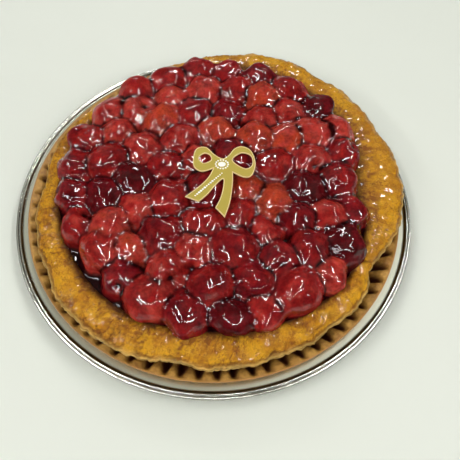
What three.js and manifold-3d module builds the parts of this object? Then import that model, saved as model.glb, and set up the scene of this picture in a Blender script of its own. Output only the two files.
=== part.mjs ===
// Cherry pie: a folded pastry crust heaped with glazed pitted cherries, in a pleated paper case
// on a round metal dish, with a bow-shaped card tag on top.
// Millimetres, +Z up. The origin is the middle of the dish's underside, and -Y is the front.
import * as THREE from "three";
import { mergeVertices } from "three/addons/utils/BufferGeometryUtils.js";
import Module from "manifold-3d";

const wasm = await Module();
wasm.setup();

// ---- driving dimensions ----

const clearance = 0.3; // between pieces that rest on each other

const dish = {
  radius: 140,
  thickness: 0.9,
  floorRadius: 121.5, // flat well
  wallRadius: 128.8, // top of the well's sloping wall
  flangeHeight: 13,
  flangeRadius: 135.6,
  beadRadius: 137.2, // raised bead inside the rolled edge
  grooveRadius: 138.5,
  rollRadius: 139.4,
  rimHeight: 15,
  segments: 56,
};

const paper = {
  flutes: 72,
  radius: 131,
  floorRadius: 110,
  thickness: 0.6,
  edgeHeight: 17.8,
  // radius, height of the ridges and height of the valleys across the pleated wall
  pleats: [
    { radius: 120.5, ridge: 12.8, valley: 5.6 },
    { radius: 126, ridge: 16.4, valley: 12 },
  ],
};

const crust = {
  baseRadius: 109.5,
  floorThickness: 5,
  cavityRadius: 105, // inside the pie, at its floor
  innerRadius: 113.3, // inside the pie, below the fold
  innerHeight: 25,
  shoulderRadius: 118, // outside the pie, half way up
  shoulderHeight: 18,
  crestRadius: 118.6,
  crestHeight: 32.4,
  lipRadius: 127.5, // outer edge of the folded rim
  lipHeight: 27,
  lipThickness: 1.7, // laminated edge
  offsetX: 3.6, // the rim sits a little off the dish's centre
  offsetY: 3.6,
  segments: 82,
};

const rimShape = {
  stretch: 4.4, // the rim is oval by this much each way
  stretchDegrees: 57,
  bulge: 3.4, // raised stretch of the rim
  bulgeDegrees: 62,
  bulgeWidth: 0.42, // radians
  foldDegrees: -31, // where the rolled dough overlaps itself
  foldDepth: 6.5,
  foldWidth: 0.075, // radians
  foldRise: 2.4,
  ledgeDegrees: 0, // where the fold is widest and reaches far in over the pie
  ledgeDepth: 11.5,
  ledgeOverhang: 2.6, // and how far out it reaches there
  ledgeWidth: 0.27, // radians
  broadDegrees: 22, // the whole of that side is a little wider
  broadDepth: 6.5,
  broadWidth: 0.75, // radians
  frontDegrees: -88, // and the front is folded in further, under the fruit
  frontDepth: 4,
  frontWidth: 0.55, // radians
  tuckDegrees: 127, // where the rim is low and drawn in
  tuckDepth: 3.6,
  tuckDrop: 3,
  tuckWidth: 0.36, // radians
  radialWaves: [
    { count: 5, size: 1.1, phase: 0.6 },
    { count: 9, size: 0.9, phase: 2.1 },
    { count: 14, size: 0.8, phase: 4.4 },
    { count: 23, size: 0.6, phase: 1.2 },
  ],
  heightWaves: [
    { count: 3, size: 0.7, phase: 1.9 },
    { count: 7, size: 0.6, phase: 0.4 },
    { count: 13, size: 0.5, phase: 3.3 },
  ],
  crumb: 0.45, // height of the baked bumps
  crumbSpread: 0.6, // share of it that also moves the rim in or out
};

const heap = {
  centreX: 3.2,
  centreY: 3.8,
  middleHeight: 41.8, // of the cherries' centres
  edgeHeight: 35.5,
  edgeRadius: 101,
  reach: 112.3, // no cherry goes further out than this
  coreDrop: 4, // the jelly lies this far below the cherries' centres
  coreInset: 4.2, // and this far inside the crust
  coreSegments: 18,
  coreShoulder: 14, // height of the corner between its foot and its side
  coreTop: 25, // height of its upper edge
  coreSteps: [0.93, 0.5], // places on its dome, over its reach
  seed: 7321,
  radialJitter: 3.4,
  turnJitter: 3.2,
  heightJitter: 2.2,
  smallest: 11.8,
  largest: 15.6,
  squeeze: 0.9, // neighbours may press into each other this much
  passes: 16,
  plumpness: 1.04, // longest reach of a lumpy cherry from its centre, over its size
  rings: [
    { radius: 101.2, count: 25, turn: 0.08 },
    { radius: 80, count: 19, turn: 0.2 },
    { radius: 59.5, count: 14, turn: 0.02 },
    { radius: 39, count: 9, turn: 0.3 },
    { radius: 17, count: 4, turn: 0.5 },
  ],
};

const cherryShape = {
  around: 7, // facets
  upwards: 5,
  dentDepth: 0.22, // of the cherry's size, as the next values
  dentSharpness: 6,
  lumps: 0.04,
  slimmest: 0.94,
  stretch: 0.08,
  roll: 0.4, // radians
};

const tag = {
  thickness: 0.8,
  knotX: 5.2,
  knotY: 2.8,
  tiltDegrees: 2.5, // the tails point a little down the heap
  feelerPitch: 2, // spacing of the points that feel for the cherries below
};

const colours = {
  steel: 0xc4c8c0,
  kraft: 0xb98a4c,
  pastry: 0xc8973f,
  cherry: 0x8f1c24,
  gold: 0xb8a846,
};

// ---- helpers ----

// Park-Miller draws between 0 and 1, the same on every run
function makeDraws(seed) {
  const modulus = 2147483647;
  const multiplier = 16807;
  let state = seed;
  return () => {
    state = (state * multiplier) % modulus;
    return state / modulus;
  };
}

function bareGeometry(geometry) {
  const bare = geometry.clone();
  bare.deleteAttribute("normal");
  bare.deleteAttribute("uv");
  return mergeVertices(bare, 1e-4);
}

function solidFrom(geometry) {
  const merged = bareGeometry(geometry);
  return new wasm.Manifold(
    new wasm.Mesh({
      numProp: 3,
      vertProperties: new Float32Array(merged.attributes.position.array),
      triVerts: new Uint32Array(merged.index.array),
    }),
  );
}

function geometryFrom(solid) {
  const mesh = solid.getMesh();
  const geometry = new THREE.BufferGeometry();
  geometry.setAttribute("position", new THREE.BufferAttribute(new Float32Array(mesh.vertProperties), 3));
  geometry.setIndex(new THREE.BufferAttribute(new Uint32Array(mesh.triVerts), 1));
  geometry.computeVertexNormals();
  return geometry;
}

// Turn a section of [radius, height] points round the vertical axis.
function turned(section, segments) {
  const points = section.map(([radius, height]) => new THREE.Vector2(radius, height));
  const geometry = new THREE.LatheGeometry(points, segments);
  geometry.rotateX(Math.PI / 2);
  return geometry;
}

// Move every vertex by a rule that is given its point on the section and its turn round the axis.
function reshape(geometry, sectionLength, segments, rule) {
  const position = geometry.attributes.position;
  for (let index = 0; index < position.count; index += 1) {
    const station = index % sectionLength;
    const turn = Math.floor(index / sectionLength) % segments;
    const angle = Math.atan2(position.getY(index), position.getX(index));
    const radius = Math.hypot(position.getX(index), position.getY(index));
    const moved = rule({ station, turn, angle, radius, height: position.getZ(index) });
    position.setXYZ(index, moved.x, moved.y, moved.z);
  }
  return geometry;
}

function addPiece(group, name, geometry, colour, roughness, metalness) {
  const material = new THREE.MeshStandardMaterial({ color: colour, roughness, metalness });
  const mesh = new THREE.Mesh(geometry, material);
  mesh.name = name;
  group.add(mesh);
  return mesh;
}

// ---- dish ----

function dishGeometry() {
  const flangeTop = dish.flangeHeight + 0.4;
  const section = [
    [0, 0],
    [dish.floorRadius + 0.4, 0],
    [dish.wallRadius + 0.5, dish.flangeHeight - dish.thickness],
    [dish.flangeRadius + 0.2, flangeTop - dish.thickness],
    [dish.beadRadius, dish.rimHeight - dish.thickness - 0.4],
    [dish.rollRadius - 0.6, dish.rimHeight - 2.4],
    [dish.radius, dish.rimHeight - 1.3],
    [dish.rollRadius, dish.rimHeight - 0.2],
    [dish.grooveRadius, dish.rimHeight - 1],
    [dish.beadRadius, dish.rimHeight],
    [dish.flangeRadius, flangeTop],
    [dish.wallRadius, dish.flangeHeight],
    [dish.floorRadius, dish.thickness],
    [0, dish.thickness],
  ];
  return turned(section, dish.segments);
}

// ---- paper case ----

const paperFloor = dish.thickness + clearance + paper.thickness;

function paperGeometry() {
  const segments = paper.flutes * 2;
  const across = [
    { radius: 0, ridge: paperFloor, valley: paperFloor },
    { radius: paper.floorRadius, ridge: paperFloor, valley: paperFloor },
    ...paper.pleats,
    { radius: paper.radius, ridge: paper.edgeHeight, valley: paper.edgeHeight },
  ];
  const back = [...across].reverse();
  const stations = [
    ...across.map((pleat) => ({ ...pleat, drop: paper.thickness })),
    ...back.map((pleat) => ({ ...pleat, drop: 0 })),
  ];
  const section = stations.map((station) => [station.radius, station.ridge - station.drop]);
  const geometry = turned(section, segments);
  return reshape(geometry, section.length, segments, ({ station, turn, angle, radius }) => {
    const { ridge, valley, drop } = stations[station];
    const height = (turn % 2 === 0 ? ridge : valley) - drop;
    return { x: radius * Math.cos(angle), y: radius * Math.sin(angle), z: height };
  });
}

// ---- crust ----

function wave(waves, angle) {
  return waves.reduce((sum, { count, size, phase }) => sum + size * Math.sin(count * angle + phase), 0);
}

function wrapped(angle) {
  return Math.atan2(Math.sin(angle), Math.cos(angle));
}

// A smooth hump of height 1 round one direction.
function hump(angle, degrees, width) {
  const away = wrapped(angle - THREE.MathUtils.degToRad(degrees)) / width;
  return Math.exp(-away * away);
}

// How far the rim's outer edge leaves the plain circle, how far the rim rises, and how far its
// inner side comes in.
function rimOffsets(angle) {
  const radians = THREE.MathUtils.degToRad;
  const stretch = rimShape.stretch * Math.cos(2 * (angle - radians(rimShape.stretchDegrees)));
  const bulge = hump(angle, rimShape.bulgeDegrees, rimShape.bulgeWidth);
  const fromFold = wrapped(angle - radians(rimShape.foldDegrees)) / rimShape.foldWidth;
  const fold = Math.exp(-fromFold * fromFold);
  const beside = fromFold + 1.6;
  const lap = Math.exp(-beside * beside);
  const tuck = hump(angle, rimShape.tuckDegrees, rimShape.tuckWidth);
  const overhang = rimShape.ledgeOverhang * hump(angle, rimShape.ledgeDegrees, rimShape.ledgeWidth);
  const front = rimShape.frontDepth * hump(angle, rimShape.frontDegrees, rimShape.frontWidth);
  const drawnIn = rimShape.foldDepth * fold + rimShape.tuckDepth * tuck;
  const raised = rimShape.bulge * bulge + rimShape.foldRise * lap - rimShape.tuckDrop * tuck;
  return {
    outward: stretch + wave(rimShape.radialWaves, angle) + overhang - drawnIn,
    upward: raised + wave(rimShape.heightWaves, angle),
    inward: ledgeDepth(angle) + front,
  };
}

// How far the fold keeps the fruit away where it is wider than elsewhere.
function ledgeDepth(angle) {
  const ledge = rimShape.ledgeDepth * hump(angle, rimShape.ledgeDegrees, rimShape.ledgeWidth);
  return ledge + rimShape.broadDepth * hump(angle, rimShape.broadDegrees, rimShape.broadWidth);
}

const paperTop = paperFloor + clearance;
const crustFloor = paperTop + crust.floorThickness;

// Each point: radius, height, share of the rim's outward and upward shape, crumb, and share of
// the ledge. The section runs from under the pie up the outside, over the folded rim and down the
// inside.
function crustSection() {
  const lipUnder = crust.lipHeight - crust.lipThickness;
  return [
    { radius: 0, height: paperTop, share: 0, crumb: 0, ledge: 0 },
    { radius: crust.baseRadius, height: paperTop, share: 0, crumb: 0, ledge: 0 },
    { radius: crust.baseRadius + 2, height: paperTop + 2, share: 0, crumb: 0, ledge: 0 },
    { radius: crust.shoulderRadius, height: crust.shoulderHeight, share: 0.3, crumb: 0.6, ledge: 0 },
    { radius: crust.lipRadius - 4, height: lipUnder - 0.6, share: 0.9, crumb: 0.3, ledge: 0 },
    { radius: crust.lipRadius + 0.3, height: lipUnder, share: 1, crumb: 0.5, ledge: 0 },
    { radius: crust.lipRadius, height: crust.lipHeight, share: 1, crumb: 0.5, ledge: 0 },
    { radius: 125.2, height: 29.4, share: 0.9, crumb: 1, ledge: 0 },
    { radius: 122, height: 31.4, share: 0.75, crumb: 1, ledge: 0.1 },
    { radius: crust.crestRadius, height: crust.crestHeight, share: 0.6, crumb: 1, ledge: 0.45 },
    { radius: 115.4, height: 30.8, share: 0.4, crumb: 1, ledge: 0.95 },
    { radius: crust.innerRadius, height: crust.innerHeight, share: 0.2, crumb: 0.6, ledge: 1 },
    { radius: crust.cavityRadius, height: crustFloor, share: 0, crumb: 0, ledge: 0 },
    { radius: 0, height: crustFloor, share: 0, crumb: 0, ledge: 0 },
  ];
}

// The rim leans off centre as it rises.
function lean(height) {
  return THREE.MathUtils.smoothstep(height, 3, 27);
}

function crustGeometry() {
  const stations = crustSection();
  const section = stations.map((point) => [point.radius, point.height]);
  const geometry = turned(section, crust.segments);
  const draw = makeDraws(heap.seed + 11);
  const bumps = stations.map(() => Array.from({ length: crust.segments }, () => 2 * draw() - 1));
  return reshape(geometry, section.length, crust.segments, ({ station, turn, angle, radius, height }) => {
    const { share, crumb, ledge } = stations[station];
    const { outward, upward, inward } = rimOffsets(angle);
    const bump = crumb * rimShape.crumb * bumps[station][turn];
    const reach = radius + share * outward - ledge * inward + bump * rimShape.crumbSpread;
    const leaning = lean(height);
    return {
      x: reach * Math.cos(angle) + leaning * crust.offsetX,
      y: reach * Math.sin(angle) + leaning * crust.offsetY,
      z: height + share * upward + bump,
    };
  });
}

// ---- cherries ----

function heapHeight(distance) {
  const share = Math.min(distance / heap.edgeRadius, 1.08);
  return heap.middleHeight - (heap.middleHeight - heap.edgeHeight) * share * share;
}

// Rings of cherries, each shifted a little by chance, then pushed apart until they only press
// lightly into each other.
function placeCherries() {
  const draw = makeDraws(heap.seed);
  const spread = (size) => (2 * draw() - 1) * size;
  const cherries = [];
  for (const ring of heap.rings) {
    for (let index = 0; index < ring.count; index += 1) {
      const radius = ring.radius + spread(heap.radialJitter);
      const along = spread(heap.turnJitter) / ring.radius;
      const angle = ((index + ring.turn) / ring.count) * 2 * Math.PI + along;
      const size = heap.smallest + (heap.largest - heap.smallest) * draw();
      const lift = spread(heap.heightJitter);
      cherries.push({ x: radius * Math.cos(angle), y: radius * Math.sin(angle), size, lift });
    }
  }
  for (let pass = 0; pass < heap.passes; pass += 1) {
    for (let first = 0; first < cherries.length; first += 1) {
      for (let second = first + 1; second < cherries.length; second += 1) {
        pushApart(cherries[first], cherries[second]);
      }
    }
    for (const cherry of cherries) {
      const distance = Math.hypot(cherry.x, cherry.y);
      const limit = heap.reach - cherry.size - ledgeDepth(Math.atan2(cherry.y, cherry.x));
      if (distance > limit) {
        cherry.x *= limit / distance;
        cherry.y *= limit / distance;
      }
    }
  }
  for (const cherry of cherries) {
    cherry.z = heapHeight(Math.hypot(cherry.x, cherry.y)) + cherry.lift;
    cherry.x += heap.centreX;
    cherry.y += heap.centreY;
    keepOffCrust(cherry);
  }
  return cherries;
}

// The side of the folded rim that the fruit leans on, in one direction from the rim's middle.
function innerFold(angle) {
  const { outward, upward, inward } = rimOffsets(angle);
  const from = crustSection().findIndex((point) => point.radius === crust.crestRadius);
  return crustSection()
    .slice(from - 1, from + 3)
    .map(({ radius, height, share, ledge }) => {
      const reach = radius + share * outward - ledge * inward;
      return new THREE.Vector2(reach, height + share * upward);
    });
}

// Roll a cherry up and inwards until it only rests against the crust.
function keepOffCrust(cherry) {
  const middle = new THREE.Vector2(crust.offsetX, crust.offsetY);
  const room = cherry.size * heap.plumpness + clearance + rimShape.crumb;
  const nearest = new THREE.Vector3();
  for (let pass = 0; pass < heap.passes; pass += 1) {
    const outwards = new THREE.Vector2(cherry.x, cherry.y).sub(middle);
    const angle = outwards.angle();
    const centre = new THREE.Vector3(outwards.length(), cherry.z, 0);
    const fold = innerFold(angle).map((point) => new THREE.Vector3(point.x, point.y, 0));
    for (let edge = 1; edge < fold.length; edge += 1) {
      new THREE.Line3(fold[edge - 1], fold[edge]).closestPointToPoint(centre, true, nearest);
      const lack = room - centre.distanceTo(nearest);
      if (lack > 0) {
        centre.add(centre.clone().sub(nearest).setLength(lack));
      }
    }
    cherry.x = middle.x + centre.x * Math.cos(angle);
    cherry.y = middle.y + centre.x * Math.sin(angle);
    cherry.z = centre.y;
  }
}

function pushApart(one, other) {
  const wanted = heap.squeeze * (one.size + other.size);
  const acrossX = other.x - one.x;
  const acrossY = other.y - one.y;
  const distance = Math.hypot(acrossX, acrossY);
  if (distance >= wanted || distance === 0) {
    return;
  }
  const push = (0.5 * (wanted - distance)) / distance;
  one.x -= acrossX * push;
  one.y -= acrossY * push;
  other.x += acrossX * push;
  other.y += acrossY * push;
}

// A cherry is a slightly lumpy ball with one dent where the stone came out.
function cherryGeometry(cherry, draw) {
  const ball = new THREE.SphereGeometry(1, cherryShape.around, cherryShape.upwards);
  const geometry = bareGeometry(ball.rotateX(Math.PI / 2));
  const dent = new THREE.Vector3(2 * draw() - 1, 2 * draw() - 1, draw()).normalize();
  const stretch = new THREE.Vector3(draw(), draw(), draw());
  stretch.multiplyScalar(cherryShape.stretch).addScalar(cherryShape.slimmest);
  const roll = () => (2 * draw() - 1) * cherryShape.roll;
  const turn = new THREE.Euler(roll(), roll(), draw() * Math.PI);
  const position = geometry.attributes.position;
  const point = new THREE.Vector3();
  for (let index = 0; index < position.count; index += 1) {
    point.fromBufferAttribute(position, index);
    const facing = Math.max(0, point.dot(dent));
    const dented = cherryShape.dentDepth * facing ** cherryShape.dentSharpness;
    const length = 1 - dented + cherryShape.lumps * (draw() - 0.5);
    point.multiplyScalar(length).multiply(stretch);
    point.applyEuler(turn).multiplyScalar(cherry.size);
    position.setXYZ(index, point.x + cherry.x, point.y + cherry.y, point.z + cherry.z);
  }
  return geometry;
}

// The jelly under the cherries, domed like the heap and a little clear of the crust's inside.
function heapCoreGeometry() {
  const reach = crust.innerRadius - heap.coreInset;
  const section = [
    [0, crustFloor + clearance],
    [crust.cavityRadius - heap.coreInset, crustFloor + clearance],
    [reach - 2, heap.coreShoulder],
    [reach, heap.coreTop],
    ...heap.coreSteps.map((step) => [reach * step, heapHeight(reach * step) - heap.coreDrop]),
    [0, heapHeight(0) - heap.coreDrop],
  ];
  const geometry = turned(section, heap.coreSegments);
  return reshape(geometry, section.length, heap.coreSegments, ({ angle, radius, height }) => {
    const leaning = lean(height);
    const rise = THREE.MathUtils.inverseLerp(crustFloor, heap.coreTop, height);
    const cut = rimOffsets(angle).inward * THREE.MathUtils.clamp(rise, 0, 1);
    const inside = radius - cut * (radius / reach);
    return {
      x: inside * Math.cos(angle) + leaning * crust.offsetX,
      y: inside * Math.sin(angle) + leaning * crust.offsetY,
      z: height,
    };
  });
}

function heapSolid(cherries) {
  const draw = makeDraws(heap.seed + 5);
  const core = solidFrom(heapCoreGeometry());
  const fruit = cherries.map((cherry) => solidFrom(cherryGeometry(cherry, draw)));
  const heaped = fruit.reduce((whole, cherry) => whole.add(cherry), core);
  // the outer skin alone, so that pockets closed in between cherries are filled
  return heaped.decompose().reduce((best, body) => (body.volume() > best.volume() ? body : best));
}

// ---- bow tag ----

function spline(shape, points) {
  shape.splineThru(points.map(([x, y]) => new THREE.Vector2(x, y)));
}

// Outline of the bow round its knot: two looped ears and two tails, with the eyes the other way
// round.
function bowShape() {
  const shape = new THREE.Shape();
  shape.moveTo(0.9, 5.3);
  spline(shape, [[6.7, 11.8], [11.2, 14.8], [16.8, 14.3], [22.4, 2.8]]);
  spline(shape, [[19.7, -8.6], [15.5, -10], [6.5, -5.7]]);
  spline(shape, [[7.3, -19.2], [6.4, -29.5], [2.9, -40.6]]);
  shape.lineTo(-3.3, -33.7);
  spline(shape, [[0.3, -21.4], [1.5, -13.2], [0.5, -10.8]]);
  spline(shape, [[-6.1, -20.4], [-13.8, -29.5]]);
  shape.lineTo(-23, -25.3);
  spline(shape, [[-14.7, -17.8], [-6.6, -9], [-5.2, -3.4]]);
  spline(shape, [[-13.5, -6.5], [-19, -1.4], [-19.3, 4.1], [-15.5, 13.7], [-9.5, 13], [0.9, 5.3]]);
  const leftEye = new THREE.Path();
  leftEye.moveTo(-6.5, 4.5);
  spline(leftEye, [[-12.8, 8.3], [-14.6, 6.4], [-13.1, 0.4], [-9.7, 1.4], [-6.5, 4.5]]);
  const rightEye = new THREE.Path();
  rightEye.moveTo(6.9, 5.2);
  spline(rightEye, [[11.4, -0.5], [18.3, -2.6], [19, 4.2], [12.6, 9.6], [6.9, 5.2]]);
  shape.holes.push(leftEye, rightEye);
  return shape;
}

// How far the tag can be let down until it rests on the cherries.
function dropOnto(tagMesh, heapMesh) {
  tagMesh.updateMatrixWorld(true);
  const box = new THREE.Box3().setFromObject(tagMesh);
  const down = new THREE.Vector3(0, 0, -1);
  const up = new THREE.Vector3(0, 0, 1);
  const feeler = new THREE.Raycaster();
  let drop = Infinity;
  for (let x = box.min.x; x <= box.max.x; x += tag.feelerPitch) {
    for (let y = box.min.y; y <= box.max.y; y += tag.feelerPitch) {
      feeler.set(new THREE.Vector3(x, y, box.min.z - 1), up);
      const [underside] = feeler.intersectObject(tagMesh);
      feeler.set(new THREE.Vector3(x, y, box.min.z), down);
      const [fruit] = feeler.intersectObject(heapMesh);
      if (underside && fruit) {
        drop = Math.min(drop, underside.point.z - fruit.point.z);
      }
    }
  }
  return drop - clearance;
}

function addTag(group, heapMesh) {
  const geometry = new THREE.ExtrudeGeometry(bowShape(), {
    depth: tag.thickness,
    bevelEnabled: false,
    curveSegments: 2,
  });
  const mesh = addPiece(group, "bow_tag", geometry, colours.gold, 0.4, 0.5);
  const above = 2 * heap.middleHeight;
  mesh.rotation.x = THREE.MathUtils.degToRad(tag.tiltDegrees);
  mesh.position.set(tag.knotX, tag.knotY, above);
  mesh.position.z -= dropOnto(mesh, heapMesh);
}

// ---- the pie ----

const group = new THREE.Group();
addPiece(group, "dish", dishGeometry(), colours.steel, 0.12, 1);
addPiece(group, "paper_case", paperGeometry(), colours.kraft, 0.8, 0);
addPiece(group, "crust", crustGeometry(), colours.pastry, 0.45, 0);
const heapGeometry = geometryFrom(heapSolid(placeCherries()));
const heapMesh = addPiece(group, "cherries", heapGeometry, colours.cherry, 0.2, 0);
addTag(group, heapMesh);

export default group;
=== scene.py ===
import math

import bmesh
import bpy
from mathutils import Euler, Matrix, Vector, kdtree, noise


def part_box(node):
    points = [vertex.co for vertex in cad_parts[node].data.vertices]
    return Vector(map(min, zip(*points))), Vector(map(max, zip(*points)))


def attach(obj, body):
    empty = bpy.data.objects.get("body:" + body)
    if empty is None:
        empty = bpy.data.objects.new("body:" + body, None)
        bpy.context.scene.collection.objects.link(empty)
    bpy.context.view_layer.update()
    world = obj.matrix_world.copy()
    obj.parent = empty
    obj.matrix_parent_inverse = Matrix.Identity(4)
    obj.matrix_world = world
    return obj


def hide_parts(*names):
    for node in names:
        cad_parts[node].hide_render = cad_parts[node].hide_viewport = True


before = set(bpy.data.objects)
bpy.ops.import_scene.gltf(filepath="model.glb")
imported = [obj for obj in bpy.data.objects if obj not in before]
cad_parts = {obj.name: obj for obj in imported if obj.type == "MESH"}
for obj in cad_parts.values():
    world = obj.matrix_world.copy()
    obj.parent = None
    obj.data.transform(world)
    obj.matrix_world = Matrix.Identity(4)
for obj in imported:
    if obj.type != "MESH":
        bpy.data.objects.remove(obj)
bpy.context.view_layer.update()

# Sizes below are in millimetres, and finishPiece turns them into metres.
mm = 0.001
fullTurn = 2 * math.pi


def makeDraws(seed):  # repeatable draws between 0 and 1
    state = [seed]

    def draw():
        state[0] = state[0] * 16807 % 2147483647
        return state[0] / 2147483647

    return draw


def smoothStep(value, low, high):
    share = min(max((value - low) / (high - low), 0.0), 1.0)
    return share * share * (3 - 2 * share)


def bell(value, width):
    return math.exp(-(value / width) ** 2)


def wrapAngle(angle):
    return math.atan2(math.sin(angle), math.cos(angle))


def polar(radius, angle, height):
    return Vector((radius * math.cos(angle), radius * math.sin(angle), height))


def paint(code):  # a screen colour such as "c8963f" as linear red, green, blue and alpha
    parts = [int(code[at:at + 2], 16) / 255 for at in (0, 2, 4)]
    return [((part + 0.055) / 1.055) ** 2.4 if part > 0.04 else part / 12.92 for part in parts] + [1.0]


view = {
    "eye": (11.6, -230.2, 379.3),
    "target": (11.6, -13.85, 0.0),
    "roll": 1.42,  # degrees
    "lens": 46.96,
}

studio = {
    "tableColor": "d9dcd2",
    "tableSize": 3000,
    # how bright the room is, from the horizon to straight above
    "skyBands": [(0.0, 0.28), (0.25, 0.16), (0.6, 0.26), (1.0, 0.26)],
    "skyTint": "e8ece2",
    "stripLength": 1.9,  # metres from here on
    "stripWidth": 0.16,
    "stripPower": 18.6,
    "gleamWidth": 0.06,  # the same lights as glossy surfaces mirror them
    "gleamPower": 44.0,
    "stripTurn": -14.0,  # degrees
    # the strips of light: sideways, forwards and upwards
    "strips": [(-1.2, -0.35, 2.2), (1.1, 0.25, 2.2), (-0.4, 2.9, 2.2), (-2.0, -1.3, 2.0), (-0.1, -2.1, 2.0),
               (1.8, -1.5, 2.0)],
}


def addObject(name, data):
    item = bpy.data.objects.new(name, data)
    bpy.context.scene.collection.objects.link(item)
    return item


def spinOf(degrees):
    return Matrix.Rotation(math.radians(degrees), 4, "Z").to_quaternion()


def aimAt(item, target):
    item.rotation_mode = "QUATERNION"
    item.rotation_quaternion = (Vector(target) - item.location).to_track_quat("-Z", "Y")


def addCamera():
    data = bpy.data.cameras.new("mainCamera")
    data.lens = view["lens"]
    data.sensor_width = 36.0
    data.clip_start = 0.01
    camera = addObject("mainCamera", data)
    camera.location = Vector(view["eye"]) * mm
    aimAt(camera, Vector(view["target"]) * mm)
    camera.rotation_quaternion = camera.rotation_quaternion @ spinOf(view["roll"])
    bpy.context.scene.camera = camera


def addStudio():
    world = bpy.data.worlds.new("studioSky")
    world.use_nodes = True
    tree = world.node_tree
    way = addNode(tree, "ShaderNodeTexCoord").outputs["Generated"]
    rise = addNode(tree, "ShaderNodeSeparateXYZ", {"Vector": way}).outputs["Z"]
    bands = levelsOf(tree, rise, *studio["skyBands"])
    light = mixColors(tree, 1.0, bands, paint(studio["skyTint"]), "MULTIPLY")
    tree.links.new(light, tree.nodes["Background"].inputs["Color"])
    bpy.context.scene.world = world
    for side, ahead, height in studio["strips"]:
        lamp = addStrip("strip", (side, ahead, height), studio["stripWidth"], studio["stripPower"])
        lamp.visible_glossy = False
        gleam = addStrip("gleam", (side, ahead, height - 0.05), studio["gleamWidth"], studio["gleamPower"])
        gleam.visible_diffuse = False


def addStrip(name, place, width, power):
    data = bpy.data.lights.new(name, "AREA")
    data.shape = "RECTANGLE"
    data.size = studio["stripLength"]
    data.size_y = width
    data.energy = power
    lamp = addObject(name, data)
    lamp.location = place
    aimAt(lamp, (place[0] * 0.5, place[1] * 0.25, 0.0))
    lamp.rotation_quaternion = spinOf(studio["stripTurn"]) @ lamp.rotation_quaternion
    return lamp


def finishPiece(name, bm, material, node, smooth=True):
    bmesh.ops.scale(bm, vec=(mm, mm, mm), verts=bm.verts)
    for face in bm.faces:
        face.smooth = smooth
    mesh = bpy.data.meshes.new(name)
    bm.to_mesh(mesh)
    bm.free()
    mesh.materials.append(material)
    piece = addObject(name, mesh)
    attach(piece, "root")
    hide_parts(node)
    print("piece", name, len(mesh.polygons), "faces")
    return piece


def addLayers(bm, *names):
    return [bm.verts.layers.float.new(name) for name in names]


def aroundAxis(vert):  # how far from the upright axis, and in which direction
    return math.hypot(vert.co.x, vert.co.y), math.atan2(vert.co.y, vert.co.x)


def takeShape(bm, draft):  # take a draft object's shape with its modifiers, and remove the draft
    shaped = draft.evaluated_get(bpy.context.evaluated_depsgraph_get())
    bm.from_mesh(shaped.to_mesh())
    shaped.to_mesh_clear()
    bpy.data.objects.remove(draft)


def turnSection(bm, points, steps, dress=None):  # turn a section of (radius, height) points all the way round
    reachLayer, = addLayers(bm, "reach")
    rail = [bm.verts.new((radius, 0, height)) for radius, height in points]
    for vert, (radius, height) in zip(rail, points):
        vert[reachLayer] = radius
    if dress:
        dress(rail)
    edges = [bm.edges.new(pair) for pair in zip(rail, rail[1:])]
    bmesh.ops.spin(bm, geom=rail + edges, cent=(0, 0, 0), axis=(0, 0, 1), angle=fullTurn, steps=steps // 8,
                   use_merge=True)
    bmesh.ops.remove_doubles(bm, verts=bm.verts, dist=0.0005)
    around = []
    for edge in bm.edges:
        start, end = edge.verts
        if start[reachLayer] > 0 and abs(start[reachLayer] - end[reachLayer]) + abs(start.co.z - end.co.z) < 0.0001:
            around.append(edge)
    bmesh.ops.subdivide_edges(bm, edges=around, cuts=7, use_grid_fill=True)
    for vert in bm.verts:
        flat, angle = aroundAxis(vert)
        if flat > 0.001:
            vert.co.x *= vert[reachLayer] / flat
            vert.co.y *= vert[reachLayer] / flat
    bmesh.ops.recalc_face_normals(bm, faces=bm.faces)


def addNode(tree, kind, inputs=None, **settings):
    node = tree.nodes.new(kind)
    for key, value in settings.items():
        setattr(node, key, value)
    for key, value in (inputs or {}).items():
        if isinstance(value, bpy.types.NodeSocket):
            tree.links.new(value, node.inputs[key])
        else:
            node.inputs[key].default_value = value
    return node


def mixColors(tree, share, first, second, blend="MIX"):
    node = addNode(tree, "ShaderNodeMix", {0: share, 6: first, 7: second}, data_type="RGBA", blend_type=blend)
    return node.outputs[2]


def rampOf(tree, value, stops):  # a colour for each stop of a mask
    node = addNode(tree, "ShaderNodeValToRGB", {"Fac": value})
    band = node.color_ramp.elements
    while len(band) < len(stops):
        band.new(0.5)
    for element, (place, color) in zip(band, stops):
        element.position = place
        element.color = color
    return node.outputs["Color"]


def levelsOf(tree, value, *stops):  # the same for plain greys
    return rampOf(tree, value, [(place, (level, level, level, 1.0)) for place, level in stops])


def newMaterial(name):
    material = bpy.data.materials.new(name)
    material.use_nodes = True
    tree = material.node_tree
    tree.nodes.clear()
    shader = addNode(tree, "ShaderNodeBsdfPrincipled")
    output = addNode(tree, "ShaderNodeOutputMaterial", {"Surface": shader.outputs["BSDF"]})
    output.location = (400, 0)
    return material, tree, shader


def setSockets(shader, values):
    for key, value in values.items():
        shader.inputs[key].default_value = value


def addBump(tree, shader, height, strength, distance):
    bump = addNode(tree, "ShaderNodeBump", {"Height": height, "Strength": strength, "Distance": distance})
    tree.links.new(bump.outputs["Normal"], shader.inputs["Normal"])


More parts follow.
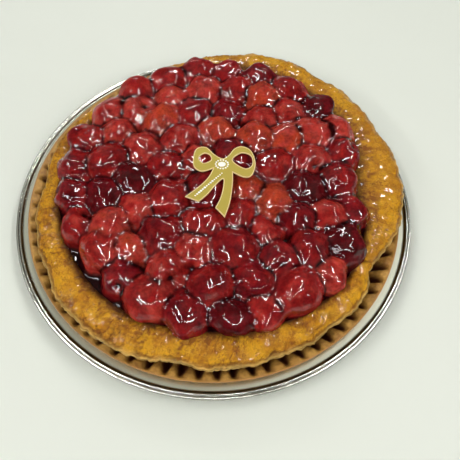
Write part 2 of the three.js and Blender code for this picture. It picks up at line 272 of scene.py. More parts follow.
def buildMottle():  # two sizes of noise in one mask, used by pastry, fruit and paper
    group = bpy.data.node_groups.new("mottle", "ShaderNodeTree")
    face = group.interface
    face.new_socket("Scale", in_out="INPUT", socket_type="NodeSocketFloat")
    face.new_socket("Fine Share", in_out="INPUT", socket_type="NodeSocketFloat")
    face.new_socket("Mask", in_out="OUTPUT", socket_type="NodeSocketFloat")
    given = addNode(group, "NodeGroupInput")
    spot = addNode(group, "ShaderNodeTexCoord").outputs["Object"]
    broad = addNode(group, "ShaderNodeTexNoise", {"Vector": spot, "Scale": given.outputs["Scale"], "Detail": 4.0})
    finer = addNode(group, "ShaderNodeMath", {0: given.outputs["Scale"], 1: 5.3}, operation="MULTIPLY")
    fine = addNode(group, "ShaderNodeTexNoise", {"Vector": spot, "Scale": finer.outputs[0], "Detail": 3.0})
    both = addNode(group, "ShaderNodeMix", {0: given.outputs["Fine Share"], 2: broad.outputs["Fac"],
                                            3: fine.outputs["Fac"]}, data_type="FLOAT")
    addNode(group, "NodeGroupOutput", {"Mask": both.outputs[0]})
    return group


def mottleOf(tree, group, scale, fineShare):
    node = addNode(tree, "ShaderNodeGroup", node_tree=group)
    node.inputs["Scale"].default_value = scale
    node.inputs["Fine Share"].default_value = fineShare
    return node.outputs["Mask"]


def attributeOf(tree, name):
    return addNode(tree, "ShaderNodeAttribute", attribute_name=name).outputs["Fac"]


dish = {
    "floorStops": (0.0, 60.0, 115.0, 119.5),  # rings of the flat floor
    "thickness": 0.9,
    "floorRadius": 121.5,
    "wallRadius": 128.8,
    "flangeHeight": 13.0,
    "flangeRadius": 135.6,
    "flangeRise": 0.4,
    "beadRadius": 137.2,
    "beadWidth": 0.75,
    "beadRise": 1.6,
    "rollRadius": 139.1,
    "rollSize": 0.95,
    "steps": 288,
    "wallStep": 0.9,
    "edgeStep": 0.35,
    "rollSteps": 12,
    "color": "c8c8b5",
    "grooveShadeColor": "524e43",  # painted shade in the polished edge between its two crests, and painted highlights on them
    "crestHighlightColor": "e4e3d8",
    "crestWidth": 0.55,
    "satin": 0.32,  # roughness of the flange, and of the edge
    "polished": 0.2,
}


def dishTop(radius):  # height of the upper face of the dish
    wall = smoothStep(radius, dish["floorRadius"], dish["wallRadius"])
    flange = smoothStep(radius, dish["wallRadius"], dish["flangeRadius"]) * dish["flangeRise"]
    bead = smoothStep(radius, dish["flangeRadius"] - 0.7, dish["beadRadius"]) * dish["beadRise"]
    bead *= bell(max(radius - dish["beadRadius"], 0.0), dish["beadWidth"])
    return dish["thickness"] + wall * (dish["flangeHeight"] - dish["thickness"]) + flange + bead


def buildDish():
    top = [(radius, dishTop(radius)) for radius in dish["floorStops"]]
    radius = dish["floorRadius"]
    while radius < dish["rollRadius"] - 0.8:
        top.append((radius, dishTop(radius)))
        radius += dish["edgeStep"] if radius > dish["flangeRadius"] - 1 else dish["wallStep"]
    size = dish["rollSize"]
    heart = dishTop(dish["rollRadius"]) - 0.1  # middle of the rolled edge
    roll = []
    for step in range(dish["rollSteps"] + 1):
        angle = math.radians(150 - 24 * step)
        roll.append((dish["rollRadius"] + size * math.cos(angle), heart + size * math.sin(angle)))
    under = [(max(radius - 0.2, 0.0), height - dish["thickness"]) for radius, height in reversed(top[3:])]
    bm = bmesh.new()
    satinLayer, crestHighlightLayer = addLayers(bm, "satin", "crest")
    turnSection(bm, top + roll + under + [(60.0, 0.0), (0.0, 0.0)], dish["steps"])
    for vert in bm.verts:
        radius, angle = aroundAxis(vert)
        vert[satinLayer] = 1 - smoothStep(radius, dish["flangeRadius"] - 1.5, dish["flangeRadius"] + 0.3)
        # how near a crest each point lies: the mask of the painted highlights
        crests = [bell(radius - place, dish["crestWidth"]) for place in (dish["beadRadius"], dish["rollRadius"])]
        vert[crestHighlightLayer] = max(crests)
    material, tree, shader = newMaterial("polishedSteel")
    haze = levelsOf(tree, attributeOf(tree, "satin"), (0.0, dish["polished"]), (1.0, dish["satin"]))
    tree.links.new(haze, shader.inputs["Roughness"])
    # painted highlights on the crests of the polished edge, painted shade in the groove between them
    edge = mixColors(tree, attributeOf(tree, "crest"), paint(dish["grooveShadeColor"]), paint(dish["crestHighlightColor"]))
    steel = mixColors(tree, attributeOf(tree, "satin"), edge, paint(dish["color"]))
    tree.links.new(steel, shader.inputs["Base Color"])
    setSockets(shader, {"Metallic": 1.0})
    finishPiece("metalDish", bm, material, "dish")


paper = {
    "flutes": 72,
    "stepsPerFlute": 12,
    "seed": 911,
    "floorRadius": 110.0,
    "floorHeight": 1.8,
    "thickness": 0.45,
    "edgeHeight": 17.7,
    # radius, height of the ridges and height of the valleys
    "pleats": [(110.0, 1.8, 1.8), (120.5, 12.8, 3.4), (126.0, 16.5, 10.4), (129.2, 17.4, 16.9), (131.0, 17.7, 17.7)],
    "pocket": (0.98, 0.5),  # width of a fold as a share of its flute, inside and at its outer end
    "roundness": 1.7,
    "ridgeColor": "c99a48",
    "valleyShadeColor": "5c2e12",
    "spotColor": "8f6026",
    "edgeColor": "a8783a",
    "shallowAngle": 190.0,  # degrees, where the pleats are flattest
    "shallowShare": 0.2,
    "jitter": 0.16,
    "edgeWave": 0.35,
}


def pleatHeights(radius):
    for (startRadius, ridge, valley), (endRadius, nextRidge, nextValley) in zip(paper["pleats"], paper["pleats"][1:]):
        if radius <= endRadius:
            share = (radius - startRadius) / (endRadius - startRadius)
            return ridge + (nextRidge - ridge) * share, valley + (nextValley - valley) * share
    return paper["edgeHeight"], paper["edgeHeight"]


def buildPaper(mottle):
    stations = [0.0, 60.0, 105.0, 110.0] + [112.0 + 1.9 * step for step in range(6)]
    stations += [123.0 + 0.55 * step for step in range(15)]
    bm = bmesh.new()
    edgeLayer, pleatShadeLayer = addLayers(bm, "caseEdge", "pleat")
    floor = [(radius, paper["floorHeight"]) for radius in stations]
    turnSection(bm, floor, paper["flutes"] * paper["stepsPerFlute"])
    draw = makeDraws(paper["seed"])
    skew = [paper["jitter"] * (2 * draw() - 1) for flute in range(paper["flutes"])]
    depth = [0.82 + 0.2 * draw() for flute in range(paper["flutes"])]
    for vert in bm.verts:
        radius, angle = aroundAxis(vert)
        if radius < paper["floorRadius"]:
            continue
        place = angle % fullTurn / fullTurn * paper["flutes"]
        flute = int(place) % paper["flutes"]
        across = place - int(place)
        across += skew[flute] * math.sin(math.pi * across) ** 2
        wide, narrow = paper["pocket"]
        width = wide + (narrow - wide) * smoothStep(radius, 117.0, 127.5)
        rise = min(abs(2 * across - 1) / width, 1.0)  # 1 on the ridges, 0 in the valley
        ridge, valley = pleatHeights(radius)
        drop = (ridge - valley) * depth[flute] * (1 - rise ** paper["roundness"])
        drop *= 1 - paper["shallowShare"] * hump(angle, paper["shallowAngle"], 0.8)
        vert.co.z = ridge - drop
        edge = smoothStep(radius, 127.5, 130.5)
        vert.co.z += edge * paper["edgeWave"] * noise.noise(polar(9, angle, 4))
        vert[edgeLayer] = smoothStep(radius, 129.0, 130.4)
        # painted shade mask: 1 on the ridges, falling to 0 down in the deep valleys
        vert[pleatShadeLayer] = 1 - smoothStep(drop, 0.6, 5.0)
    bmesh.ops.solidify(bm, geom=bm.faces, thickness=paper["thickness"])
    material, tree, shader = newMaterial("brownPaper")
    spots = mottleOf(tree, mottle, 75.0, 0.5)
    body = mixColors(tree, levelsOf(tree, spots, (0.35, 1), (0.65, 0)), paint(paper["ridgeColor"]),
                     paint(paper["spotColor"]))
    # painted shade: dark brown down in the valleys of the pleats
    body = mixColors(tree, attributeOf(tree, "pleat"), paint(paper["valleyShadeColor"]), body)
    body = mixColors(tree, attributeOf(tree, "caseEdge"), body, paint(paper["edgeColor"]))
    tree.links.new(body, shader.inputs["Base Color"])
    addBump(tree, shader, mottleOf(tree, mottle, 420.0, 0.6), 0.3, 0.0002)
    setSockets(shader, {"Roughness": 0.55, "Specular IOR Level": 0.3})
    finishPiece("paperCase", bm, material, "paper_case")


rim = {
    "offset": (3.6, 3.6),
    "stretch": 4.4,
    "stretchAngle": 57.0,  # degrees, as the angles below
    "bulge": 3.4,
    "bulgeAngle": 62.0,
    "bulgeWidth": 0.42,  # radians
    "foldAngle": -31.0,
    "foldDepth": 6.5,
    "foldWidth": 0.075,
    "foldRise": 2.4,
    "ledgeAngle": 0.0,
    "ledgeDepth": 11.5,
    "ledgeOverhang": 2.6,
    "ledgeWidth": 0.27,
    "broadAngle": 22.0,
    "broadDepth": 6.5,
    "broadWidth": 0.75,
    "frontAngle": -88.0,
    "frontDepth": 4.0,
    "frontWidth": 0.55,
    "tuckAngle": 127.0,
    "tuckDepth": 3.6,
    "tuckDrop": 3.0,
    "tuckWidth": 0.36,
    "radialWaves": [(5, 1.1, 0.6), (9, 0.9, 2.1), (14, 0.8, 4.4), (23, 0.6, 1.2)],  # count, size, phase
    "heightWaves": [(3, 0.7, 1.9), (7, 0.6, 0.4), (13, 0.5, 3.3)],
}

crust = {
    "steps": 1152,
    "foldRadius": 118.0,
    "reliefShare": 0.8,
    "spacing": 0.8,  # between the lines of the net over the fold
    "coarse": 5.0,  # and below it
    # radius, height, share of the rim's shape, roughness of the surface, zone across the rim and share of the ledge
    "section": [
        (109.5, 2.1, 0.0, 0.0, -1.0, 0.0), (111.5, 4.1, 0.0, 0.3, -1.0, 0.0), (118.0, 18.0, 0.3, 0.6, -0.6, 0.0),
        (123.0, 23.9, 0.9, 0.6, 0.9, 0.0), (126.6, 24.4, 1.0, 0.7, 1.0, 0.0), (127.8, 25.6, 1.0, 0.6, 1.0, 0.0),
        (127.6, 27.0, 1.0, 0.6, 0.95, 0.0), (126.5, 28.7, 0.95, 0.8, 0.8, 0.0), (124.6, 29.9, 0.85, 1.0, 0.66, 0.0),
        (121.6, 31.7, 0.75, 1.0, 0.5, 0.1), (117.6, 32.5, 0.6, 1.0, 0.3, 0.45), (112.8, 32.0, 0.4, 0.9, 0.08, 0.95),
        (109.6, 29.0, 0.2, 0.6, -0.1, 1.0), (108.5, 18.0, 0.05, 0.3, -0.2, 0.6), (105.0, 7.1, 0.0, 0.0, -0.3, 0.0),
    ],
    "layer": 1.25,  # thickness of a layer of dough where the edge shows them
    "smoothAngle": 22.0,  # degrees, where the glaze lies thickest on the rim
    "smoothWidth": 0.75,
    "yellow": "d69a10",
    "gold": "b5750a",
    "straw": "dfa42a",  # of the curled flakes
    "brown": "84480c",
    "stainAndShadeBrown": "4a2208",
    "pale": "e3bc6e",
    "stepZone": 0.7,  # where the upper layer of dough ends, and how far below it the next one lies
    "stepDrop": 1.0,
    "litSideAngle": 188.0,  # the side where the rim is painted lighter, standing in for light falling from the left: the stain near the fruit is weakened there
    "lipRise": 2.6,  # where one end of the dough lies over the other
    "lipSlant": 0.45,
    "lipMiddle": 42.0,
}


def rimWave(waves, angle):
    return sum(size * math.sin(count * angle + phase) for count, size, phase in waves)


def hump(angle, degrees, width):
    return bell(wrapAngle(angle - math.radians(degrees)), width)


def ledgeReach(angle):  # how far the fold reaches in over the pie where it is wider than elsewhere
    ledge = rim["ledgeDepth"] * hump(angle, rim["ledgeAngle"], rim["ledgeWidth"])
    return ledge + rim["broadDepth"] * hump(angle, rim["broadAngle"], rim["broadWidth"])


def rimOffsets(angle):  # how far the rim goes outwards, upwards and inwards in this direction
    stretch = rim["stretch"] * math.cos(2 * (angle - math.radians(rim["stretchAngle"])))
    tuck = hump(angle, rim["tuckAngle"], rim["tuckWidth"])
    fromFold = wrapAngle(angle - math.radians(rim["foldAngle"])) / rim["foldWidth"]
    drawnIn = rim["foldDepth"] * bell(fromFold, 1.0) + rim["tuckDepth"] * tuck
    overhang = rim["ledgeOverhang"] * hump(angle, rim["ledgeAngle"], rim["ledgeWidth"])
    outward = stretch + rimWave(rim["radialWaves"], angle) + overhang - drawnIn
    upward = rim["bulge"] * hump(angle, rim["bulgeAngle"], rim["bulgeWidth"]) - rim["tuckDrop"] * tuck
    upward += rim["foldRise"] * bell(fromFold + 1.6, 1.0) + rimWave(rim["heightWaves"], angle)
    inward = ledgeReach(angle) + rim["frontDepth"] * hump(angle, rim["frontAngle"], rim["frontWidth"])
    return outward, upward, inward


def lean(height):  # the pie leans off the dish's centre as it rises
    return smoothStep(height, 3, 27)


def curveThrough(stations, perSpan):  # a smooth line through rows of numbers
    rows = [Vector(row) for row in stations]
    ends = [rows[0]] + rows + [rows[-1]]
    line = []
    for index in range(len(rows) - 1):
        before, start, end, after = ends[index:index + 4]
        for step in range(perSpan):
            share = step / perSpan
            line.append(0.5 * (2 * start + (end - before) * share
                               + (2 * before - 5 * start + 4 * end - after) * share ** 2
                               + (3 * start - before - 3 * end + after) * share ** 3))
    return line + [rows[-1]]


def pastryRelief(angle, along, zone):  # height in millimetres, share of browning and of painted shade in its recesses, and share of glaze
    strip = polar(crust["foldRadius"], angle, along)  # the same place on the dough, however wide the rim is
    warp = Vector((noise.noise(strip / 8), noise.noise(strip / 8 + Vector((31, 7, 3))), 0.0)) * 0.6
    broad = noise.noise(strip / 9 + Vector((4, 4, 8)))
    middle = noise.noise(strip / 4.2 + Vector((7, 3, 1)))
    fine = noise.noise(strip / 1.9)
    grain = noise.noise(strip / 1.05 + Vector((2, 9, 4)))
    shiny = hump(angle, crust["smoothAngle"], crust["smoothWidth"])
    rough = smoothStep(noise.noise(strip / 17 + Vector((1, 5, 2))) - 0.95 * shiny, -0.45, 0.3)
    crossing = noise.noise(Vector((strip.x / 5, strip.y / 5, along / 13)) + warp)
    crease = max(0.0, 1 - 9 * abs(crossing))  # thin creases that run across the rim
    stack = along / 3.3 + 0.9 * noise.noise(strip / 6.5 + Vector((3, 8, 6)))
    terrace = (stack % 1.0) ** 3 * rough  # flakes that overlap each other
    nearest = noise.voronoi(strip / 6.5)[0]
    blister = max(0.0, 0.38 - nearest[0]) / 0.38
    height = 0.8 * broad + 0.65 * middle + (0.12 + 0.7 * rough) * fine + (0.04 + 0.42 * rough) * grain
    height += 0.75 * blister ** 2 - (0.15 + 0.55 * rough) * crease - 0.6 * terrace
    # brown in the creases and under overlapping flakes: partly real browning, partly painted shade in these recesses
    brown = 0.8 * crease * rough + 0.6 * terrace
    brown += 0.6 * smoothStep(noise.noise(strip / 5.5 + Vector((9, 1, 5))) + 0.5 * fine + 0.35 * grain, 0.2, 0.7)
    step = crust["stepZone"] + 0.12 * noise.noise(polar(22, angle, 6)) + 0.06 * noise.noise(polar(75, angle, 2))
    shown = smoothStep(noise.noise(polar(9, angle, 7)), -0.5, -0.1)
    height -= crust["stepDrop"] * shown * smoothStep(zone, step - 0.03, step + 0.03)
    # a dark line at the foot of the step: partly painted shade under the upper layer
    brown += 1.1 * shown * bell(zone - step - 0.03, 0.04)
    stain = smoothStep(noise.noise(strip / 6.5 + Vector((2, 5, 9))) + 0.4 * fine, -0.15, 0.35)
    # painted light: less stain on the side the light falls on
    stain *= 1 - 0.75 * hump(angle, crust["litSideAngle"], 0.7)
    brown += 1.2 * stain * (1 - smoothStep(zone, 0.14, 0.42))
    fromFold = wrapAngle(angle - math.radians(rim["foldAngle"]))
    seam = crust["foldRadius"] * fromFold + crust["lipSlant"] * (along - crust["lipMiddle"])
    height += crust["lipRise"] * bell(seam + 2.6, 3.2) * (1 - smoothStep(seam, -0.4, 0.8))
    # dark beside the fall of the lip: partly painted shade
    brown += bell(seam - 1.0, 0.9)
    edge = smoothStep(zone, 0.72, 0.86)
    line = math.sin(fullTurn * (along + 0.5 * noise.noise(strip / 9) + 0.3 * middle) / crust["layer"])
    height += edge * (0.5 * line - 0.2)
    # dark lines in the grooves between the layers of the edge: partly real browning, partly painted shade
    brown = brown * (1 - 0.8 * edge) + edge * 0.8 * smoothStep(-line, 0.2, 0.9)
    wet = smoothStep(0.75 * shiny - 0.9 * zone + 0.9 * noise.noise(strip / 7 + Vector((6, 2, 2))), -0.5, 0.1)
    return height, min(brown, 1.0), wet


def netLines():  # the section as even lines, fine over the fold and coarse below it
    line = curveThrough(crust["section"], 12)
    kept, along = [line[0]], [0.0]
    for row, following in zip(line[1:], line[2:] + [line[-1]]):
        step = math.hypot(row[0] - kept[-1][0], row[1] - kept[-1][1])
        if step >= (crust["spacing"] if row[3] > 0.45 else crust["coarse"]) or row is following:
            kept.append(row)
            along.append(along[-1] + step)
    return kept, along


def buildCrust(mottle):
    line, along = netLines()
    floor, top = line[0], line[-1]
    points = [(0.0, floor[1]), (60.0, floor[1])] + [(row[0], row[1]) for row in line]
    points += [(60.0, top[1]), (0.0, top[1])]
    bm = bmesh.new()
    shareLayer, roughLayer, zoneLayer, ledgeLayer, alongLayer = addLayers(
        bm, "rimShare", "roughness", "rimZone", "ledge", "along")
    reliefLayer, browningAndShadeLayer, wetLayer = addLayers(bm, "bumps", "browningAndShade", "wet")

    def dress(rail):
        for vert, row, way in zip(rail[2:-2], line, along):
            vert[shareLayer], vert[roughLayer], vert[zoneLayer], vert[ledgeLayer] = row[2], row[3], row[4], row[5]
            vert[alongLayer] = way
        rail[-1][zoneLayer] = rail[-2][zoneLayer] = -0.3

    turnSection(bm, points, crust["steps"], dress)
    for vert in bm.verts:
        radius, angle = aroundAxis(vert)
        outward, upward, inward = rimOffsets(angle)
        share, zone = vert[shareLayer], vert[zoneLayer]
        leaning = lean(vert.co.z)
        height, brown, wet = pastryRelief(angle, vert[alongLayer] + vert[ledgeLayer] * inward, zone)
        ragged = 1.1 * noise.noise(polar(30, angle, 3)) + 0.45 * noise.noise(polar(80, angle, 8))
        ragged *= smoothStep(zone, 0.3, 0.9)
        reach = radius + share * outward + ragged - vert[ledgeLayer] * inward
        vert.co = polar(reach, angle, vert.co.z + share * upward)
        vert.co.x += leaning * rim["offset"][0]
        vert.co.y += leaning * rim["offset"][1]
        vert[reliefLayer], vert[browningAndShadeLayer], vert[wetLayer] = height, brown, wet
    bm.normal_update()
    for vert in bm.verts:
        vert.co += vert.normal * vert[reliefLayer] * vert[roughLayer] * crust["reliefShare"]
    finishPiece("pastryCrust", bm, pastryMaterial(mottle), "crust")


def pastryMaterial(mottle):
    material, tree, shader = newMaterial("bakedPastry")
    zone = attributeOf(tree, "rimZone")
    bumps = attributeOf(tree, "bumps")
    patches = mottleOf(tree, mottle, 75.0, 0.2)
    specks = mottleOf(tree, mottle, 260.0, 0.3)
    base = rampOf(tree, patches, [(0.4, paint(crust["gold"])), (0.6, paint(crust["yellow"]))])
    browningAndShade = levelsOf(tree, attributeOf(tree, "browningAndShade"), (0.1, 0), (0.9, 0.85))
    blotch = levelsOf(tree, specks, (0.32, 0.5), (0.43, 0))
    flakes = mottleOf(tree, mottle, 120.0, 0.22)
    cracks = levelsOf(tree, flakes, (0.475, 0), (0.492, 0.75), (0.5, 0.0))
    curled = levelsOf(tree, flakes, (0.5, 0.0), (0.504, 0.45), (0.56, 0.0))
    # darkest at the inner foot of the fold: partly real browning, partly painted shade under the fruit
    deep = levelsOf(tree, zone, (0.0, 0.9), (0.08, 0.55), (0.18, 0.0))
    for mask, color in ((browningAndShade, "brown"), (blotch, "brown"), (cracks, "brown"), (curled, "straw"),
                        (deep, "stainAndShadeBrown")):
        base = mixColors(tree, mask, base, paint(crust[color]))
    # paler outer edge: partly the pale layers of dough, partly painted light on the side that faces outwards and down
    edge = levelsOf(tree, zone, (0.66, 0), (0.8, 0.4), (0.95, 0.9))
    paleAndLitEdge = mixColors(tree, browningAndShade, paint(crust["pale"]), paint(crust["gold"]))
    base = mixColors(tree, edge, base, paleAndLitEdge)
    # painted highlights: light straw flecks where the flakes glint
    paintedGlints = levelsOf(tree, mottleOf(tree, mottle, 240.0, 0.4), (0.56, 0), (0.66, 0.4))
    base = mixColors(tree, paintedGlints, base, paint(crust["straw"]))
    # painted shade: darker in the low places of the relief
    hollow = addNode(tree, "ShaderNodeMapRange", {"Value": bumps, "From Min": -1.5, "From Max": -0.2, "To Min": 0.6,
                                                  "To Max": 1.0}).outputs["Result"]
    base = mixColors(tree, 1.0, base, hollow, "MULTIPLY")
    grain = mottleOf(tree, mottle, 620.0, 0.5)
    # painted shade at a fine scale: darker in the low points of the grain that also bumps the surface, a little
    # lighter on its tops
    grainShade = levelsOf(tree, grain, (0.36, 0.76), (0.52, 0.95), (0.64, 1.05))
    base = mixColors(tree, 1.0, base, grainShade, "MULTIPLY")
    tree.links.new(base, shader.inputs["Base Color"])
    glazed = levelsOf(tree, attributeOf(tree, "wet"), (0.15, 0), (0.7, 0.7))
    tree.links.new(glazed, shader.inputs["Coat Weight"])
    addBump(tree, shader, grain, 1.0, 0.0007)
    setSockets(shader, {"Roughness": 0.55, "Specular IOR Level": 0.12, "Coat Roughness": 0.05, "Coat IOR": 1.38,
                        "Subsurface Weight": 0.06, "Subsurface Scale": 0.002, "Subsurface Radius": (1.0, 0.5, 0.2)})
    return material


heap = {
    "centre": (3.2, 3.8),
    "middleHeight": 41.8,
    "edgeHeight": 35.5,
    "edgeRadius": 101.0,
    "reach": 112.3,  # no cherry goes further out than this
    "coreDrop": 4.0,
    "seed": 7321,
    "radialJitter": 3.4,
    "turnJitter": 3.2,
    "heightJitter": 2.2,
    "smallest": 11.8,
    "largest": 15.6,
    "squeeze": 0.9,
    "passes": 16,
    "fillRadius": 103.0,
    "leastGap": 3.0,
    "bareAngles": (-156.0, -120.0),  # degrees, where the gap stays open
    "outerFrom": 85.0,
    "hollowAngle": -138.0,
    "hollowWidth": 0.24,
    "hollowDepth": 5.5,  # how much further in the outer fruit lies there
    "room": 0.92,  # of a cherry's size, kept from the crust, so that soft fruit presses against it
    "rings": [(101.2, 25, 0.08), (80.0, 19, 0.2), (59.5, 14, 0.02), (39.0, 9, 0.3), (17.0, 4, 0.5)],
    # the fold that the fruit leans on: radius, height, share of the rim's shape and share of the ledge
    "fold": [(122.0, 31.4, 0.75, 0.1), (118.6, 32.4, 0.6, 0.45), (115.4, 30.8, 0.4, 0.95), (113.3, 25.0, 0.2, 1.0)],
}

fruit = {
    "seed": 4057,
    "detail": 4,
    "swell": 1.04,
    "dark": "4a0a0e",
    "crimson": "6c1118",
    "red": "931e1c",
    "rose": "ae3930",
    "amber": "ad3b22",
    "stone": "0e0203",
}


def heapHeight(distance):
    share = min(distance / heap["edgeRadius"], 1.08)
    return heap["middleHeight"] - (heap["middleHeight"] - heap["edgeHeight"]) * share * share


def pushApart(one, other):
    wanted = heap["squeeze"] * (one["size"] + other["size"])
    acrossX = other["x"] - one["x"]
    acrossY = other["y"] - one["y"]
    distance = math.hypot(acrossX, acrossY)
    if distance >= wanted or distance == 0:
        return
    push = 0.5 * (wanted - distance) / distance
    one["x"] -= acrossX * push
    one["y"] -= acrossY * push
    other["x"] += acrossX * push
    other["y"] += acrossY * push


def keepOffCrust(cherry):  # roll it up and inwards until it only rests on the folded rim
    room = cherry["size"] * heap["room"]
    offsetX, offsetY = rim["offset"]
    for turn in range(heap["passes"]):
        angle = math.atan2(cherry["y"] - offsetY, cherry["x"] - offsetX)
        centre = Vector((math.hypot(cherry["x"] - offsetX, cherry["y"] - offsetY), cherry["z"]))
        outward, upward, inward = rimOffsets(angle)
        fold = [Vector((radius + share * outward - ledge * inward, height + share * upward))
                for radius, height, share, ledge in heap["fold"]]
        for start, end in zip(fold, fold[1:]):
            along = (centre - start).dot(end - start) / (end - start).length_squared
            nearest = start + (end - start) * min(max(along, 0.0), 1.0)
            lack = room - (centre - nearest).length
            if lack > 0:
                centre += (centre - nearest).normalized() * lack
        cherry["x"] = offsetX + centre.x * math.cos(angle)
        cherry["y"] = offsetY + centre.x * math.sin(angle)
        cherry["z"] = centre.y


def placeCherries():
    draw = makeDraws(heap["seed"])
    cherries = []
    for ringRadius, count, turn in heap["rings"]:
        for index in range(count):
            radius = ringRadius + (2 * draw() - 1) * heap["radialJitter"]
            along = (2 * draw() - 1) * heap["turnJitter"] / ringRadius
            angle = (index + turn) / count * fullTurn + along
            size = heap["smallest"] + (heap["largest"] - heap["smallest"]) * draw()
            lift = (2 * draw() - 1) * heap["heightJitter"]
            cherries.append({"x": radius * math.cos(angle), "y": radius * math.sin(angle), "size": size,
                             "lift": lift})
    for turn in range(heap["passes"]):
        for first, one in enumerate(cherries):
            for other in cherries[first + 1:]:
                pushApart(one, other)
        for cherry in cherries:
            distance = math.hypot(cherry["x"], cherry["y"])
            limit = heap["reach"] - cherry["size"] - ledgeReach(math.atan2(cherry["y"], cherry["x"]))
            if distance > limit:
                cherry["x"] *= limit / distance
                cherry["y"] *= limit / distance
    for cherry in cherries:
        distance = math.hypot(cherry["x"], cherry["y"])
        cherry["z"] = heapHeight(distance) + cherry["lift"]
        if distance > heap["outerFrom"]:
            hollow = hump(math.atan2(cherry["y"], cherry["x"]), heap["hollowAngle"], heap["hollowWidth"])
            cherry["x"] *= 1 - heap["hollowDepth"] * hollow / distance
            cherry["y"] *= 1 - heap["hollowDepth"] * hollow / distance
        cherry["x"] += heap["centre"][0]
        cherry["y"] += heap["centre"][1]
        keepOffCrust(cherry)
    return cherries


def fillGaps(cherries):  # small fruit where the heap leaves the jelly bare along the rim
    low, high = heap["bareAngles"]
    for step in range(180):
        angle = math.radians(2 * step - 180)
        if low < math.degrees(angle) < high:
            continue
        spot = polar(heap["fillRadius"] - rimOffsets(angle)[2], angle, 0).xy + Vector(rim["offset"])
        gap = min((spot - Vector((cherry["x"], cherry["y"]))).length - 0.92 * cherry["size"] for cherry in cherries)
        if gap > heap["leastGap"]:
            size = min(gap + 4.5, 10.5)
            cherries.append({"x": spot.x, "y": spot.y, "z": heap["edgeHeight"] - 0.45 * size, "size": size})


def randomDirection(draw, lowest=-1.0):
    height = lowest + (1 - lowest) * draw()
    angle = fullTurn * draw()
    flat = math.sqrt(max(0.0, 1 - height * height))
    return Vector((flat * math.cos(angle), flat * math.sin(angle), height))


def dressCherries(cherries):  # give each cherry its own dents, seam, lumps and colour
    draw = makeDraws(fruit["seed"])
    for cherry in cherries:
        cherry["centre"] = Vector((cherry["x"], cherry["y"], cherry["z"]))
        cherry["size"] *= 0.93 + 0.15 * draw()
        cherry["stretch"] = Vector((0.84 + 0.26 * draw(), 0.92 + 0.15 * draw(), 0.88 + 0.2 * draw()))
        cherry["turn"] = Euler((fullTurn * draw(), fullTurn * draw(), fullTurn * draw())).to_matrix()
        cherry["hole"] = randomDirection(draw)
        cherry["holeSide"] = cherry["hole"].orthogonal()
        cherry["holeDepth"] = 0.1 + 0.4 * draw()
        cherry["holeWidth"] = 0.2 + 0.22 * draw()
        cherry["seam"] = randomDirection(draw)
        cherry["scar"] = randomDirection(draw)
        cherry["offset"] = Vector((draw(), draw(), draw())) * 50
        cherry["wrinkle"] = draw() ** 2
        shade = draw()
        kind = draw()
        cherry["tint"] = 0.08 + 0.2 * shade if kind < 0.1 else 0.32 + 0.45 * shade
        if kind > 0.9:
            cherry["tint"] = 0.84 + 0.12 * shade


def cherryLength(cherry, direction):  # how far the skin lies from the middle, of the cherry's size
    away = math.acos(max(-1.0, min(1.0, direction.dot(cherry["hole"]))))
    length = 1.0 - cherry["holeDepth"] * bell(away, cherry["holeWidth"])
    length += 0.05 * bell(away - 1.75 * cherry["holeWidth"], 0.2)
    side = direction - cherry["hole"] * direction.dot(cherry["hole"])
    if side.length > 0.01:
        around = side.angle(cherry["holeSide"])
        length -= 0.04 * abs(math.cos(1.5 * around)) ** 6 * bell(away - 0.35, 0.4)
    length -= 0.035 * bell(direction.dot(cherry["seam"]), 0.09)
    scar = math.acos(max(-1.0, min(1.0, direction.dot(cherry["scar"]))))
    length -= 0.09 * bell(scar, 0.2)
    length += 0.17 * noise.noise(direction * 1.1 + cherry["offset"])
    length += (0.05 + 0.08 * cherry["wrinkle"]) * noise.noise(direction * 2.4 + cherry["offset"])
    length += (0.01 + 0.05 * cherry["wrinkle"]) * noise.noise(direction * 5.0 + cherry["offset"])
    return length, away


def shapeCherry(cherry, direction):
    length = cherryLength(cherry, direction)[0]
    shape = Vector(part * stretch for part, stretch in zip(direction * length, cherry["stretch"]))
    return cherry["turn"] @ shape * cherry["size"] * fruit["swell"] + cherry["centre"]


def settleUnderTag(cherries, loops):  # press the cherries below the tag down until none comes through it
    low, high = [Vector(corner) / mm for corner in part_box("bow_tag")]
    ball = bmesh.new()
    bmesh.ops.create_icosphere(ball, subdivisions=4, radius=1.0)
    directions = [vert.co.normalized() for vert in ball.verts if vert.co.z > -0.5]
    ball.free()
    knot = Vector(bow["knot"])
    outline = [point + knot for point in loops[0]]
    for cherry in cherries:
        if (cherry["centre"].xy - knot).length > bow["reach"]:
            continue
        lack = 0.0
        for direction in directions:
            spot = shapeCherry(cherry, direction)
            over = spot.z + bow["gap"] - (low.z + (spot.y - low.y) * math.tan(math.radians(bow["tilt"])))
            if over > lack and isInside(spot.xy, outline):
                lack = over
        cherry["centre"].z -= lack


def isInside(spot, outline):  # whether a point lies within a closed outline
    inside = False
    for start, end in zip(outline, outline[1:] + outline[:1]):
        if (start.y > spot.y) != (end.y > spot.y):
            if spot.x < start.x + (end.x - start.x) * (spot.y - start.y) / (end.y - start.y):
                inside = not inside
    return inside


glaze = {
    "voxel": 1.03,
    "reach": 1.4,  # how far it fills a crease between two cherries
    "rounds": 12,
    "lastRounds": 11,
    # radius and height of the jelly below the fruit
    "bed": [(0.0, 21.0), (115.0, 21.0), (115.0, 27.6), (109.5, 29.2)],
    "bedRadius": 107.0,
    "bedSteps": [0.9, 0.7, 0.45, 0.2, 0.0],
    "bedTurns": 240,
    "floor": 24.0,  # nothing of it shows below this height
    # the jelly's own dark red where it lies thick between the cherries, partly painted shade in those gaps
    "deep": "180305",
    "masks": ("tint", "paintedShade", "depth", "shine"),  # what each point of the fruit carries for the material
}


